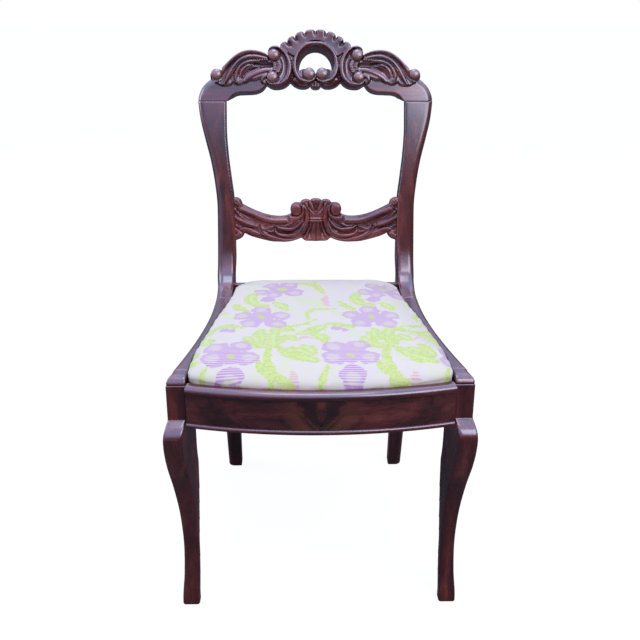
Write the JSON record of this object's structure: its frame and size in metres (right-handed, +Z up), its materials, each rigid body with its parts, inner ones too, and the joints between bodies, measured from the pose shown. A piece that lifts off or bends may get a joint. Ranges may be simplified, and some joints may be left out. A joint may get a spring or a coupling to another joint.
{
  "type": "balloon back chair",
  "caption": "Mahogany balloon back side chair with carved pierced crest, carved cross splat, cabriole front legs, sabre rear legs and a floral drop-in seat that lifts out",
  "frame": {"origin": "on the floor, under the centre of the outer box", "axes": "+Z up, the sitter faces -Y, +X across the seat; the chair is symmetric about the YZ plane"},
  "size_m": [0.4698, 0.578, 0.866],
  "materials": {
    "mahogany": "dark red-brown mahogany under glossy aged varnish",
    "crotch_veneer": "bookmatched crotch mahogany veneer, varnished",
    "secondary_wood": "plain unvarnished ash or poplar",
    "dowel_wood": "plain birch dowel",
    "steel_screw": "dull steel wood screw",
    "blued_tack": "blued cut tack",
    "jute_webbing": "woven jute webbing",
    "hessian_cloth": "open plain weave hessian",
    "stuffing_fibre": "matted stuffing under wadding",
    "floral_jacquard": "cream jacquard with lilac flowers and lime leaves",
    "black_cambric": "thin black cambric lining"
  },
  "bodies": {
    "root": {"rear_post_right": "mahogany", "rear_post_left": "mahogany", "front_leg_right": "mahogany", "front_leg_left": "mahogany", "side_rail_right": "mahogany", "side_rail_left": "mahogany", "front_seat_rail": "mahogany", "rear_seat_rail": "mahogany", "crest_rail": "mahogany", "cross_splat": "mahogany", "front_rail_veneer_right": "crotch_veneer", "front_rail_veneer_left": "crotch_veneer", "front_rail_top_bead": "mahogany", "front_rail_bottom_bead": "mahogany", "corner_block_front_right": "secondary_wood", "corner_block_front_left": "secondary_wood", "corner_block_rear_right": "secondary_wood", "corner_block_rear_left": "secondary_wood", "front_rail_dowels": "dowel_wood", "side_rail_dowels": "dowel_wood", "rear_rail_dowels": "dowel_wood", "splat_dowels": "dowel_wood", "crest_dowels": "dowel_wood", "corner_block_screws": "steel_screw"},
    "slip_seat": {"seat_frame_front": "secondary_wood", "seat_frame_back": "secondary_wood", "seat_frame_right": "secondary_wood", "seat_frame_left": "secondary_wood", "seat_frame_dowels": "dowel_wood", "webbing_front_to_back": "jute_webbing", "webbing_crosswise": "jute_webbing", "webbing_tacks": "blued_tack", "hessian": "hessian_cloth", "seat_stuffing": "stuffing_fibre", "seat_cover": "floral_jacquard", "dust_cover": "black_cambric", "cover_tacks": "blued_tack"}
  },
  "joints": [
    {"name": "seat_lift", "type": "slide", "parent": "root", "child": "slip_seat", "axis": [0, 0, 1], "range_m": [0, 0.08]}
  ]
}
